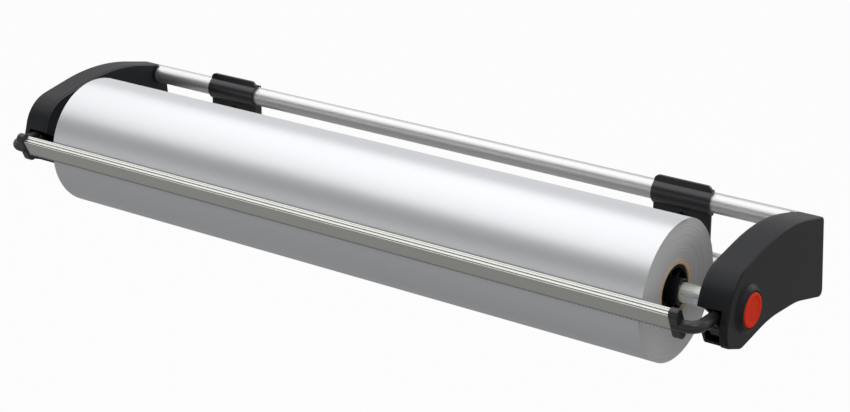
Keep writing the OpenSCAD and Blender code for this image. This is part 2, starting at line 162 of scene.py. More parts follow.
def coords(tree, scale):
    place = tree.nodes.new("ShaderNodeTexCoord")
    mapping = tree.nodes.new("ShaderNodeMapping")
    mapping.inputs["Scale"].default_value = scale
    link(tree, place.outputs["Object"], mapping.inputs["Vector"])
    return mapping.outputs["Vector"]


def noise(tree, scale, detail, at=(1, 1, 1), rough=0.5):
    node = tree.nodes.new("ShaderNodeTexNoise")
    node.inputs["Scale"].default_value = scale
    node.inputs["Detail"].default_value = detail
    node.inputs["Roughness"].default_value = rough
    link(tree, coords(tree, at), node.inputs["Vector"])
    return node.outputs["Fac"]


def ramp(tree, value, stops):
    node = tree.nodes.new("ShaderNodeValToRGB")
    elements = node.color_ramp.elements
    while len(elements) < len(stops):
        elements.new(0.5)
    for k, (place, colour) in enumerate(stops):
        elements[k].position = place
        elements[k].color = (*colour, 1)
    link(tree, value, node.inputs["Fac"])
    return node.outputs["Color"]


def grey(level):
    return (level, level, level)


def scaled(colour, share):
    return [c * share for c in colour]


def colour_by(tree, shader, value, stops):
    link(tree, ramp(tree, value, stops), shader.inputs["Base Color"])


def rough_by(tree, shader, value, low, high):
    node = tree.nodes.new("ShaderNodeMapRange")
    node.inputs["To Min"].default_value = low
    node.inputs["To Max"].default_value = high
    link(tree, value, node.inputs["Value"])
    link(tree, node.outputs["Result"], shader.inputs["Roughness"])


def bump(tree, shader, height, strength, distance):
    node = tree.nodes.new("ShaderNodeBump")
    node.inputs["Strength"].default_value = strength
    node.inputs["Distance"].default_value = distance
    link(tree, height, node.inputs["Height"])
    link(tree, node.outputs["Normal"], shader.inputs["Normal"])


def plastic(name, base, rough, grain, depth, spec=0.25):
    """Moulded plastic: its tone changes a little over a wide area, and its skin has a fine grain."""
    made, tree, shader = material(name, base, rough, spec=spec)
    wide = noise(tree, scale=18, detail=3)
    colour_by(tree, shader, wide, [(0.3, scaled(base, 0.9)), (0.7, scaled(base, 1.12))])
    fine = noise(tree, scale=grain, detail=2)
    rough_by(tree, shader, fine, rough - 0.05, rough + 0.06)
    bump(tree, shader, fine, strength=0.35, distance=depth)
    return made


def drawn_metal(name, base, rough, lines, across, depth=0.00004, tint=0.05, metal=0.7):
    """Metal with drawing lines; across scales the noise, so that it is stretched along the lines."""
    made, tree, shader = material(name, base, rough, metal=metal)
    streaks = noise(tree, scale=lines, detail=3, at=across)
    colour_by(tree, shader, streaks, [(0.35, scaled(base, 1 - tint)), (0.65, scaled(base, 1 + tint))])
    rough_by(tree, shader, streaks, rough - 0.04, rough + 0.06)
    bump(tree, shader, streaks, strength=0.25, distance=depth)
    return made


def zinc():
    made, tree, shader = material("axle_zinc", (0.70, 0.71, 0.68), 0.26, metal=0.95)
    cloud = noise(tree, scale=45, detail=5, at=(0.6, 1, 1), rough=0.6)
    stops = [(0.3, (0.74, 0.81, 0.9)), (0.5, (0.84, 0.86, 0.84)), (0.72, (0.87, 0.84, 0.64))]
    colour_by(tree, shader, cloud, stops)
    rough_by(tree, shader, cloud, 0.2, 0.34)
    bump(tree, shader, noise(tree, scale=700, detail=3), strength=0.2, distance=0.00003)
    return made


def silver_paper():
    made, tree, shader = material("paper_silver", (0.62, 0.63, 0.64), 0.36, metal=0.62, spec=0.1)
    broad = noise(tree, scale=9, detail=4, at=(0.15, 1, 1))
    colour_by(tree, shader, broad, [(0.3, (0.595, 0.605, 0.615)), (0.7, (0.645, 0.655, 0.665))])
    rough_by(tree, shader, noise(tree, scale=900, detail=3, at=(0.4, 1, 1)), 0.32, 0.40)
    bump(tree, shader, noise(tree, scale=60, detail=3, at=(0.12, 1, 1)), strength=0.2, distance=0.0002)
    return made


def axle_distance(tree):
    """How far a point lies from the roll's axis."""
    place = tree.nodes.new("ShaderNodeTexCoord")
    parts = tree.nodes.new("ShaderNodeSeparateXYZ")
    link(tree, place.outputs["Object"], parts.inputs["Vector"])
    behind = tree.nodes.new("ShaderNodeMath")
    behind.operation = "ADD"
    behind.inputs[1].default_value = -AXLE_Y * MM
    link(tree, parts.outputs["Y"], behind.inputs[0])
    pair = tree.nodes.new("ShaderNodeCombineXYZ")
    link(tree, behind.outputs["Value"], pair.inputs["X"])
    link(tree, parts.outputs["Z"], pair.inputs["Y"])
    length = tree.nodes.new("ShaderNodeVectorMath")
    length.operation = "LENGTH"
    link(tree, pair.outputs["Vector"], length.inputs[0])
    return length.outputs["Value"]


def paper_edges():
    """The roll's end: the paper's edges as fine rings about the axle."""
    made, tree, shader = material("paper_edges", grey(0.36), 0.6, metal=0.2)
    rings = tree.nodes.new("ShaderNodeTexNoise")
    rings.noise_dimensions = "1D"
    rings.inputs["Scale"].default_value = 900
    rings.inputs["Detail"].default_value = 5
    rings.inputs["Roughness"].default_value = 0.7
    link(tree, axle_distance(tree), rings.inputs["W"])
    stops = [(0.3, grey(0.55)), (0.55, grey(0.66)), (0.75, grey(0.78))]
    colour_by(tree, shader, rings.outputs["Fac"], stops)
    bump(tree, shader, rings.outputs["Fac"], strength=0.5, distance=0.0002)
    return made


def core_card():
    made, tree, shader = material("core_card", (0.52, 0.36, 0.22), 0.85, spec=0.25)
    pulp = noise(tree, scale=260, detail=6, rough=0.65)
    stops = [(0.3, (0.64, 0.48, 0.31)), (0.55, (0.76, 0.59, 0.40)), (0.8, (0.84, 0.69, 0.50))]
    colour_by(tree, shader, pulp, stops)
    bump(tree, shader, pulp, strength=0.5, distance=0.0003)
    return made


MATERIALS = {
    "housing": plastic("housing_black", (0.0060, 0.0066, 0.0077), 0.46, grain=1400, depth=0.00006),
    "plate": plastic("plate_black", (0.009, 0.010, 0.012), 0.42, grain=1400, depth=0.00006),
    "fitting": plastic("fitting_black", (0.006, 0.0066, 0.008), 0.38, grain=900, depth=0.00003, spec=0.6),
    "clip": plastic("clip_black", (0.004, 0.0044, 0.0056), 0.33, grain=900, depth=0.00001, spec=0.6),
    "red": plastic("button_red", (0.78, 0.034, 0.006), 0.5, grain=900, depth=0.00003, spec=0.1),
    "adapter": plastic("adapter_black", (0.005, 0.0055, 0.007), 0.45, grain=900, depth=0.00003, spec=0.2),
    "tube": drawn_metal("tube_aluminium", (0.60, 0.60, 0.595), 0.40, lines=600, across=(0.02, 1, 1),
                        depth=0.000002, tint=0.012, metal=0.9),
    "bar": drawn_metal("bar_aluminium", (0.50, 0.50, 0.47), 0.3, lines=900, across=(0.02, 1, 1),
                       depth=0.00001, tint=0.03, metal=0.9),
    "strip": drawn_metal("strip_steel", (0.30, 0.30, 0.31), 0.35, lines=1200, across=(1, 1, 0.05)),
    "steel": drawn_metal("bright_steel", (0.56, 0.56, 0.57), 0.3, lines=1200, across=(0.1, 1, 1)),
    "axle": zinc(),
    "paper": silver_paper(),
    "edges": paper_edges(),
    "card": core_card(),
}


# Mesh helpers: shapes are lists of points in millimetres and of faces
def clean_mesh(name, shape):
    """A mesh in metres, its double points merged and its faces turned outwards."""
    verts, faces = shape
    mesh = bpy.data.meshes.new(name)
    mesh.from_pydata([(x * MM, y * MM, z * MM) for x, y, z in verts], [], faces)
    work = bmesh.new()
    work.from_mesh(mesh)
    bmesh.ops.remove_doubles(work, verts=work.verts, dist=1e-7)
    bmesh.ops.recalc_face_normals(work, faces=work.faces)
    work.to_mesh(mesh)
    work.free()
    return mesh


def linked(name, data):
    """A new object in the scene."""
    made = bpy.data.objects.new(name, data)
    bpy.context.scene.collection.objects.link(made)
    return made


def shaped(name, shape, key):
    """An object with a shape and one of the materials."""
    piece = linked(name, clean_mesh(name, shape))
    piece.data.materials.append(MATERIALS[key])
    return piece


def smooth(piece, sharp):
    """Smooth shading, but for edges sharper than so many degrees."""
    piece.data.shade_smooth()
    piece.data.set_sharp_from_angle(angle=math.radians(sharp))


def place_in_frame(piece, body, replaces):
    """The body that the piece rides on, and the solids that it replaces."""
    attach(piece, body)
    if replaces:
        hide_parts(*replaces)


def solid(name, shape, key, body, replaces=(), sharp=35):
    piece = shaped(name, shape, key)
    smooth(piece, sharp)
    place_in_frame(piece, body, replaces)
    return piece


def crisp(piece):
    """Flat faces stay flat in shading beside their rounded edges."""
    normals = piece.modifiers.new("normals", "WEIGHTED_NORMAL")
    normals.keep_sharp = True


def mirrored(shape, side):
    """The shape for the right, side 1, or the left, side -1."""
    verts, faces = shape
    return [(x * side, y, z) for x, y, z in verts], faces


def joined(*parts):
    verts, faces = [], []
    for part_verts, part_faces in parts:
        first = len(verts)
        verts += part_verts
        faces += [tuple(i + first for i in face) for face in part_faces]
    return verts, faces


def lofted(rings):
    """Closed rings of points, each joined to the next, with a face over the first and the last."""
    n = len(rings[0])
    verts = [p for ring in rings for p in ring]
    faces = []
    for r in range(len(rings) - 1):
        for i in range(n):
            a, b = r * n + i, r * n + (i + 1) % n
            faces.append((a, b, b + n, a + n))
    faces.append(tuple(range(n)))
    faces.append(tuple((len(rings) - 1) * n + i for i in reversed(range(n))))
    return verts, faces


def lathe(profile, sides=96, y=AXLE_Y, z=0.0):
    """A closed ring of (x, r) turned about a line along X; where r is 0 it closes on that line."""
    verts, faces, m = [], [], len(profile)
    for k in range(sides):
        angle = 2 * math.pi * k / sides
        verts += [(x, y + r * math.cos(angle), z + r * math.sin(angle)) for x, r in profile]
    for k in range(sides):
        here, there = k * m, (k + 1) % sides * m
        for i in range(m):
            j = (i + 1) % m
            if profile[i][1] == 0 and profile[j][1] == 0:
                continue
            if profile[i][1] == 0:
                faces.append((here + i, here + j, there + j))
            elif profile[j][1] == 0:
                faces.append((here + i, here + j, there + i))
            else:
                faces.append((here + i, here + j, there + j, there + i))
    return verts, faces


def rounded(points, radii, steps):
    """A closed outline of pairs with its corners rounded, by one radius or by one for each corner."""
    longest_share, smallest, straight = 0.49, 1e-6, math.radians(89.5)
    out, n = [], len(points)
    if not isinstance(radii, list):
        radii = [radii] * n
    for i in range(n):
        before, corner, after = Vector(points[i - 1]), Vector(points[i]), Vector(points[(i + 1) % n])
        u, v = (before - corner).normalized(), (after - corner).normalized()
        half = u.angle(v) / 2
        most = longest_share * min((before - corner).length, (after - corner).length)
        reach = min(radii[i] / math.tan(half), most)
        r = reach * math.tan(half)
        if r < smallest or half > straight:
            out.append(tuple(corner))
            continue
        centre = corner + (u + v).normalized() * (r / math.sin(half))
        first, last = corner + u * reach - centre, corner + v * reach - centre
        for k in range(steps + 1):
            out.append(tuple(centre + first.slerp(last, k / steps).normalized() * r))
    return out


def shrink(points, d):
    """A closed outline of pairs, anticlockwise, moved inwards by d."""
    sharpest = 0.2
    out, n = [], len(points)
    for i in range(n):
        before, corner, after = Vector(points[i - 1]), Vector(points[i]), Vector(points[(i + 1) % n])
        u, v = (corner - before).normalized(), (after - corner).normalized()
        nu, nv = Vector((-u.y, u.x)), Vector((-v.y, v.x))
        out.append(tuple(corner + (nu + nv) * (d / max(sharpest, 1 + nu.dot(nv)))))
    return out


def prism(outline, x0, x1, edge, steps):
    """An outline of (y, z), anticlockwise, from x0 to x1, with its edges rounded."""
    quarter = [math.pi / 2 * k / steps for k in range(steps + 1)]
    low = [(x0 + edge * (1 - math.cos(angle)), edge * (1 - math.sin(angle))) for angle in quarter]
    high = [(x1 - (x - x0), inset) for x, inset in reversed(low)]
    return lofted([[(x, y, z) for y, z in shrink(outline, inset)] for x, inset in low + high])


def sweep(path, r, sides, end_round):
    """A round rod along a level path of points, with its far end rounded."""
    points = [Vector(p) for p in path]
    up = Vector((0, 0, 1))
    rings = []
    for i, p in enumerate(points):
        along = (points[min(i + 1, len(points) - 1)] - points[max(i - 1, 0)]).normalized()
        side = along.cross(up).normalized()
        rings.append((p, side, side.cross(along).normalized(), r))
    end, side, over, _ = rings[-1]
    steps = 4
    for k in range(1, steps + 1):
        angle = math.pi / 2 * k / steps
        r_here = r - end_round + end_round * math.cos(angle)
        rings.append((end + along * end_round * math.sin(angle), side, over, r_here))
    turn = [2 * math.pi * k / sides for k in range(sides)]
    return lofted([[tuple(p + s * r_here * math.cos(angle) + v * r_here * math.sin(angle)) for angle in turn]
                   for p, s, v, r_here in rings])


def capsule_outline(top, low, r, steps=14):
    """An outline of (y, z) with a half circle about each of two centres."""
    a, b = Vector(top), Vector(low)
    along = (b - a).normalized()
    lean = math.atan2(along.y, along.x)
    out = []
    for centre, start in ((a, lean + math.pi / 2), (b, lean - math.pi / 2)):
        for k in range(steps + 1):
            angle = start + math.pi * k / steps
            out.append(tuple(centre + r * Vector((math.cos(angle), math.sin(angle)))))
    return out


def coil(r, wire_r, x0, x1, turns, steps=32, sides=10):
    """A round wire wound about the axle's line from x0 to x1."""
    rise = (x1 - x0 - 2 * wire_r) / (turns * steps)
    rings = []
    for i in range(turns * steps + 1):
        angle = 2 * math.pi * i / steps
        ring = []
        for j in range(sides):
            around = 2 * math.pi * j / sides
            reach = r + wire_r * math.cos(around)
            x = x0 + wire_r + rise * i + wire_r * math.sin(around)
            ring.append((x, AXLE_Y + reach * math.cos(angle), reach * math.sin(angle)))
        rings.append(ring)
    return lofted(rings)


# Housings
def side_outline(inset, steps=14):
    """The housing's side as offsets from the axle, with its corners rounded, moved inwards by inset."""
    corners = [Vector((y * (SIDE_REAR if y > 0 else SIDE_FRONT), z * SIDE_H)) for y, z, _ in SIDE_CORNERS]
    out, n = [], len(corners)
    for i in range(n):
        before, corner, after = corners[i - 1], corners[i], corners[(i + 1) % n]
        r = SIDE_CORNERS[i][2] * SIDE_H
        u, v = (before - corner).normalized(), (after - corner).normalized()
        half = math.acos(max(-1, min(1, u.dot(v)))) / 2
        bulge = 1 if (corner - before).cross(after - corner) > 0 else -1
        centre = corner + (u + v).normalized() * (r / math.sin(half))
        start = math.atan2(bulge * u.x, -bulge * u.y)
        turn = bulge * (math.pi - 2 * half)
        for k in range(steps + 1):
            angle = start + turn * k / steps
            out.append(centre + (r - bulge * inset) * Vector((math.cos(angle), math.sin(angle))))
    return out


def housing_shell():
    """The cover's shell, open towards the side plate: from its inner floor over the rim to its outer face."""
    # Each ring: its x, whether that counts from the sloping face, and how far the outline is moved inwards
    rings = [(-COVER_WALL, 1, COVER_WALL), (COVER_X, 0, COVER_WALL)]
    rings += [(COVER_X, 0, COVER_LIP), (COVER_X + COVER_LIP, 0, 0)]
    for degrees in range(0, 91, 10):
        angle = math.radians(degrees)
        rings.append((-COVER_ROUND * (1 - math.sin(angle)), 1, COVER_ROUND * (1 - math.cos(angle))))
    return lofted([[(x + sloping * face_x(p.x), AXLE_Y + p.x, p.y) for p in side_outline(inset)]
                   for x, sloping, inset in rings])


def cut(target, cutters):
    """Takes the cutters' forms out of the target and removes them."""
    for cutter in cutters:
        step = target.modifiers.new("cut", "BOOLEAN")
        step.operation = "DIFFERENCE"
        step.solver = "EXACT"
        step.object = cutter
    bpy.context.view_layer.update()
    seen = target.evaluated_get(bpy.context.evaluated_depsgraph_get())
    mesh = bpy.data.meshes.new_from_object(seen)
    target.modifiers.clear()
    whole = target.data
    target.data = mesh
    bpy.data.meshes.remove(whole)
    for cutter in cutters:
        bpy.data.objects.remove(cutter)


def window_block():
    """What the arm's window takes out of the nose's front and bottom walls."""
    outline = [(AXLE_Y + share * SIDE_FRONT, z) for share, z in WINDOW_CORNERS]
    return lofted([[(x, y, z) for y, z in outline] for x in (COVER_X - 1, PLATE_X + WINDOW_W)])


def cup_block():
    """What the button's cup takes out of the sloping face."""
    r, over = BUTTON_R + 1.5, 9.0
    return lathe([(CUP_FLOOR, 0), (CUP_FLOOR, r), (FACE_X + over, r), (FACE_X + over, 0)])


def collar():
    """The cup's wall and the soft collar, one turned piece; its flank leans to follow the sloping face."""
    hole_r, steps, sink, root = STEM_R + 0.1, 16, 0.3, 1.8
    bore, back, top = BUTTON_R + COLLAR_GAP, CUP_FLOOR - CUP_WALL, FACE_X + COLLAR_H
    profile = [(back, hole_r), (CUP_FLOOR, hole_r), (CUP_FLOOR, bore)]
    profile += [(top - 0.6, bore), (top - 0.2, bore + 0.15), (top, bore + 0.6)]
    for k in range(steps + 1):
        u = k / steps
        height = COLLAR_H * (0.5 + 0.5 * math.cos(math.pi * u)) - sink * u
        profile.append((FACE_X + height, bore + 1.2 + COLLAR_FLANK * u))
    profile += [(FACE_X - root, bore + COLLAR_FLANK + 1.0), (FACE_X - root, bore + CUP_WALL)]
    profile.append((back, bore + CUP_WALL))
    verts, faces = lathe(profile, sides=128)
    slope, start, width = SIDE_TAPER / (SIDE_REAR + SIDE_FRONT), bore + 1, 5.0
    leaning = []
    for x, y, z in verts:
        share = max(0, min(1, (math.hypot(y - AXLE_Y, z) - start) / width))
        leaning.append((x - slope * (y - AXLE_Y) * share, y, z))
    return leaning, faces


def make_housing(side, name, replaced):
    housing = shaped(name, mirrored(housing_shell(), side), "housing")
    blocks = {"window": window_block(), "cup": cup_block()}
    cut(housing, [linked(label, clean_mesh(label, mirrored(block, side))) for label, block in blocks.items()])
    smooth(housing, 30)
    place_in_frame(housing, "frame", [replaced])
    crisp(housing)
    solid(name + "_collar", mirrored(collar(), side), "housing", "frame", sharp=50)


# Paper, core, adapters and axle
def make_roll():
    """The wound paper; its end leans out a little towards the rim, and its turns stand unevenly."""
    steps, lean, uneven, rim_out, edge = 56, 1.1, 0.22, 1.3, 0.25
    end = []
    for k in range(steps + 1):
        r = CORE_R + (ROLL_R - 0.35 - CORE_R) * k / steps
        end.append((ROLL_END + lean * k / steps - uneven * random.random(), r))
    end[-1] = (ROLL_END + rim_out, ROLL_R - edge)
    outer = [(x, ROLL_R) for x in (ROLL_END + 1.2, ROLL_END / 2, 0, -ROLL_END / 2, -ROLL_END - 1.2)]
    profile = end + outer + [(-x, r) for x, r in reversed(end)]
    wound = lathe(profile, sides=192)
    roll = solid("paper_roll_wound", wound, "paper", "roll", ["paper_roll"], sharp=40)
    roll.data.materials.append(MATERIALS["edges"])
    for face in roll.data.polygons:
        if abs(face.normal.x) > 0.5:
            face.material_index = 1


def make_sheet():
    """The drawn end of the paper, a closed thin mesh on the roll from behind its top to behind the bar."""
    top, foot, rows, cols = 103.0, -5.5, 90, 60
    half_t, lift, wave_h, shift = 0.06, 0.14, 0.05, 4.0
    left, right = shift - ROLL_END, shift + ROLL_END
    verts, faces = [], []
    for skin in (half_t, -half_t):
        for i in range(rows + 1):
            angle = math.radians(top + (foot - top) * i / rows)
            fade = min(1.0, i / 6.0, (rows - i) / 10.0)
            for j in range(cols + 1):
                x = left + (right - left) * j / cols
                wave = wave_h * (1 + math.sin(x * 0.021) * math.sin(angle * 3.1))
                r = ROLL_R + lift + fade * wave + skin
                verts.append((x, AXLE_Y - r * math.cos(angle), r * math.sin(angle)))
    row, under = cols + 1, (rows + 1) * (cols + 1)
    for i in range(rows):
        for j in range(cols):
            a = i * row + j
            faces.append((a, a + 1, a + row + 1, a + row))
            faces.append((a + under, a + under + row, a + under + row + 1, a + under + 1))
    rim = [(i * row, (i + 1) * row) for i in range(rows)]
    rim += [((i + 1) * row + cols, i * row + cols) for i in range(rows)]
    rim += [(j + 1, j) for j in range(cols)]
    rim += [(rows * row + j, rows * row + j + 1) for j in range(cols)]
    faces += [(a, b, b + under, a + under) for a, b in rim]
    return solid("drawn_paper", (verts, faces), "paper", "frame", ["leading_sheet"], sharp=60)


def make_core():
    bore_edge, outer_edge = CORE_BORE_R + 0.75, CORE_R - 0.3
    end = [(ROLL_END - 0.9, CORE_BORE_R), (ROLL_END - 0.4, CORE_BORE_R + 0.35), (ROLL_END, bore_edge),
           (ROLL_END, outer_edge), (ROLL_END - 0.3, CORE_R)]
    profile = end + [(-x, r) for x, r in reversed(end)]
    solid("card_core", lathe(profile, sides=128), "card", "roll", ["cardboard_core"])


def make_adapter(side, name, replaced):
    """A core adapter: rim in the core, web with a raised ring, six ribs, and the hub that stands out."""
    out, nose = ROLL_END - 0.5, ROLL_END + 8
    inner, web = out - 22, out - 9
    bore, hub, ring, rim, outer = AXLE_R + 0.05, 13.0, 17.7, 22.0, CORE_BORE_R - 0.1
    hub_line = [(inner, bore), (nose - 0.5, bore), (nose, bore + 0.45), (nose, hub - 0.8), (nose - 0.9, hub)]
    web_line = [(web + 0.8, hub), (web, hub + 0.8), (web, ring - 0.9), (web + 0.6, ring - 0.5),
                (web + 0.6, ring + 0.5), (web, ring + 0.9), (web, rim - 1.0), (web + 0.8, rim - 0.2)]
    rim_line = [(out - 0.5, rim), (out, rim + 0.5), (out, outer - 0.55), (out - 0.5, outer), (inner, outer)]
    back_line = [(inner, rim), (out - 12, rim), (out - 12, hub), (inner, hub)]
    parts = [lathe(hub_line + web_line + rim_line + back_line)]
    ribs, rib_t, first = 6, 2.4, 14
    section = rounded([(-rib_t / 2, hub - 0.4), (rib_t / 2, hub - 0.4), (rib_t / 2, rim + 0.2),
                       (-rib_t / 2, rim + 0.2)], 0.5, 2)
    rib_verts, rib_faces = prism(section, web - 0.2, out - 3, 0.5, 2)
    for k in range(ribs):
        turned = Matrix.Rotation(math.radians(360 / ribs * k + first), 4, "X")
        parts.append(([tuple(turned @ Vector(p) + Vector((0, AXLE_Y, 0))) for p in rib_verts], rib_faces))
    solid(name, mirrored(joined(*parts), side), "adapter", "roll", [replaced])


def make_axle():
    end = [(AXLE_END - 0.4, AXLE_BORE_R), (AXLE_END, AXLE_BORE_R + 0.5), (AXLE_END, AXLE_R - 0.6),
           (AXLE_END - 0.6, AXLE_R)]
    profile = end + [(-x, r) for x, r in reversed(end)]
    solid("axle", lathe(profile), "axle", "roll", ["axle_tube"])


# Rear tubes and the pins that hold them
def make_tube(z, name, replaced):
    """A rear tube, necked down where it sits inside the housings."""
    end = face_x(TUBE_Y - AXLE_Y) - 3.5
    half = [(COVER_X - 0.7, TUBE_R), (COVER_X - 0.1, NECK_R), (end - 0.3, NECK_R), (end, NECK_R - 0.3)]
    half += [(end, NECK_BORE_R + 0.2), (end - 0.2, NECK_BORE_R), (PLATE_X, NECK_BORE_R)]
    half.append((PLATE_X - 2, TUBE_BORE_R))
    profile = half + [(-x, r) for x, r in reversed(half)]
    solid(name, lathe(profile, y=TUBE_Y, z=z), "tube", "frame", [replaced])


def make_tube_pins(side, name, replaced):
    """Two upright pins whose ends stay under the housing's skin."""
    bevel = 0.3
    half = [(PIN_REACH, 0), (PIN_REACH, PIN_R - bevel), (PIN_REACH - bevel, PIN_R)]
    profile = [(-x, r) for x, r in half] + list(reversed(half))
    lying, faces = lathe(profile, sides=32, y=0)
    parts = []
    for tube_z in (TUBE_Z, -TUBE_Z):
        parts.append(([(PIN_X - z, TUBE_Y + y, tube_z + x) for x, y, z in lying], faces))
    solid(name, mirrored(joined(*parts), side), "steel", "frame", [replaced])


# Cutter bar, its holders and its arms
def bar_outline():
    """The bar's section: it slopes from the top at the back to the ridge, with three grooves in the slope."""
    points = [(STRIP_Y, BAR_LOW), (STRIP_Y, STRIP_TOP), (BAR_BACK, STRIP_TOP), (BAR_BACK, BAR_TOP)]
    radii = [0.15, 0.05, 0.05, 0.3]
    top, ridge = Vector((BAR_BACK, BAR_TOP)), Vector((BAR_FRONT, BAR_RIDGE))
    along = (ridge - top).normalized()
    down = Vector((-along.y, along.x))
    lean = along * 0.2
    for share, depth, width in ((0.17, 0.35, 0.6), (0.42, 1.1, 1.3), (0.78, 1.2, 1.4)):
        first = top + (ridge - top) * share
        last = first + along * width
        points += [tuple(p) for p in (first, first + down * depth + lean, last + down * depth - lean, last)]
        radii += [0.2, 0.1, 0.1, 0.2]
    points += [(BAR_FRONT, BAR_RIDGE), (STRIP_Y - 0.6, BAR_LOW)]
    radii += [0.45, 0.2]
    return rounded(points, radii, 3)


def make_bar():
    shape = prism(bar_outline(), -BAR_END, BAR_END, edge=0.15, steps=1)
    bar = solid("cutter_profile", shape, "bar", "cutter", ["cutter_bar"], sharp=50)
    crisp(bar)


def make_holder(side, name, replaced):
    top = (BAR_BACK - 4.02, 12.8)
    low = (BAR_BACK + 5.1, BAR_LOW - 4.2)
    shape = prism(capsule_outline(top, low, HOLDER_R), BAR_END, HOLDER_END, edge=1.2, steps=4)
    holder = solid(name, mirrored(shape, side), "fitting", "cutter", [replaced])
    crisp(holder)


def arm_rod():
    """The rod: out of the holder along X, round the bend, and back into the housing."""
    steps = 16
    centre_x, centre_y = ARM_X - ARM_BEND, BAR_BACK + ARM_BEND
    path = [(415.5, BAR_BACK, ARM_Z), (420, BAR_BACK, ARM_Z)]
    for k in range(steps + 1):
        angle = -math.pi / 2 + math.pi / 2 * k / steps
        path.append((centre_x + ARM_BEND * math.cos(angle), centre_y + ARM_BEND * math.sin(angle), ARM_Z))
    path += [(ARM_X, centre_y + 6, ARM_Z), (ARM_X, AXLE_Y - 34, ARM_Z)]
    return sweep(path, ARM_R, sides=40, end_round=5.5)


def arm_web():
    """The web from the rod's end to the hub."""
    first, last = Vector((AXLE_Y - 38, ARM_Z)), Vector((PIVOT_Y, PIVOT_Z))
    along = (last - first).normalized()
    across = Vector((-along.y, along.x)) * 3.5
    corners = [tuple(p) for p in (first + across, first - across, last - across, last + across)]
    return prism(rounded(corners, 0.5, 2), 430, 438, edge=0.6, steps=2)


def arm_hub():
    x0, x1, r, bore, bevel = 427.0, 438.0, 8.0, 3.05, 0.6
    profile = [(x0, bore), (x0, r - bevel), (x0 + bevel, r), (x1 - bevel, r), (x1, r - bevel), (x1, bore)]
    return lathe(profile, sides=64, y=PIVOT_Y, z=PIVOT_Z)


def make_arm(side, name, replaced):
    shape = joined(arm_rod(), arm_web(), arm_hub())
    solid(name, mirrored(shape, side), "fitting", "cutter", [replaced])


# Button, blank cap and spring
def button_profile(stem_end, neck=()):
    """Stem, head and dished face."""
    # The rim of the face: depth under the face, and way in from the edge
    rim = [(1.3, 0), (0.6, 0.2), (0.15, 0.7), (0, 1.4), (0, 3.4), (0.1, 3.9), (0.55, 4.4), (0.7, 5.0)]
    bevel = 0.3
    profile = [(stem_end, 0), (stem_end, STEM_R - 0.4), (stem_end + 0.4, STEM_R), *neck]
    profile += [(BUTTON_HEAD, STEM_R), (BUTTON_HEAD, BUTTON_R - bevel), (BUTTON_HEAD + bevel, BUTTON_R)]
    profile += [(BUTTON_FACE - depth, BUTTON_R - way_in) for depth, way_in in rim]
    return profile + [(BUTTON_FACE - 0.75, 6.0), (BUTTON_FACE - 0.7, 0)]


def make_button():
    last = CLIP_X + CLIP_T
    neck = [(CLIP_X, STEM_R), (CLIP_X, CLIP_NECK_R), (last, CLIP_NECK_R), (last, STEM_R)]
    shape = lathe(button_profile(STEM_END, neck), sides=128)
    solid("push_button", shape, "red", "button", ["button"], sharp=45)


def make_cap():
    shape = lathe(button_profile(CUP_FLOOR - CUP_WALL), sides=128)
    solid("blank_cap", mirrored(shape, -1), "fitting", "frame", ["left_cap"], sharp=45)


def make_button_spring():
    """The spring stands on the cup's floor."""
    shape = coil(SPRING_R, SPRING_WIRE_R, SPRING_X0, SPRING_X1, SPRING_TURNS)
    spring = solid("button_coil", shape, "steel", "frame", ["button_spring"])
    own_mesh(spring)


# The pieces that keep their solids get a material, and side plates and clips a fine bevel as well
KEPT = {
    "plate": ["left_side_plate", "right_side_plate"],
    "clip": ["left_clip", "right_clip"],
    "fitting": ["left_axle_bush", "right_axle_bush"],
    "strip": ["tear_strip"],
    "steel": ["left_cover_screws", "right_cover_screws", "left_pivot_pin", "right_pivot_pin",
              "left_arm_spring", "right_arm_spring", "button_clip"],
}


def dress_kept():
    for key, names in KEPT.items():
        for name in names:
            piece = nodes[name]
            piece.data.materials.clear()
            piece.data.materials.append(MATERIALS[key])
            if key in ("plate", "clip"):
                bevel = piece.modifiers.new("edge", "BEVEL")
                bevel.width = 0.5 * MM
                bevel.segments = 2
                bevel.limit_method = "ANGLE"
                bevel.angle_limit = math.radians(40)


# The assembly
def both_sides(make, piece, node):
    """A right and a left piece, in place of the right and the left node."""
    for side, hand in ((1, "right"), (-1, "left")):
        make(side, hand + piece, hand + node)


both_sides(make_housing, "_housing", "_cover")
random.seed(7)
make_roll()
sheet = make_sheet()
make_core()
both_sides(make_adapter, "_adapter", "_core_adapter")
make_axle()
make_tube(TUBE_Z, "upper_rear_tube", "upper_tube")
make_tube(-TUBE_Z, "lower_rear_tube", "lower_tube")
make_bar()
both_sides(make_holder, "_holder", "_bar_end")
both_sides(make_arm, "_crank", "_arm")
make_button()
make_cap()
make_button_spring()
both_sides(make_tube_pins, "_pins", "_tube_pins")
dress_kept()


# Stage, light and camera, in metres
FLOOR_Z = -0.7
FLOOR_REACH = 6.0
FLOOR_GREY = 0.22
# How much of the floor each kind of ray sees as plain white
FLOOR_WHITE = (("Is Camera Ray", 0.97), ("Is Glossy Ray", 0.25), ("Is Transmission Ray", 0.25))
# The studio from straight down to straight up, before the object and behind it
STUDIO_FRONT = [(0.0, grey(1.0)), (0.55, grey(1.0)), (0.63, (0.22, 0.22, 0.23)), (0.72, (0.13, 0.13, 0.14)),
                (0.82, (0.25, 0.25, 0.26)), (0.88, (0.5, 0.5, 0.52)), (1.0, (0.5, 0.5, 0.52))]
STUDIO_REAR = [(0.0, grey(0.8)), (0.6, (0.75, 0.75, 0.76)), (0.75, (0.7, 0.7, 0.72)), (1.0, (0.5, 0.5, 0.52))]
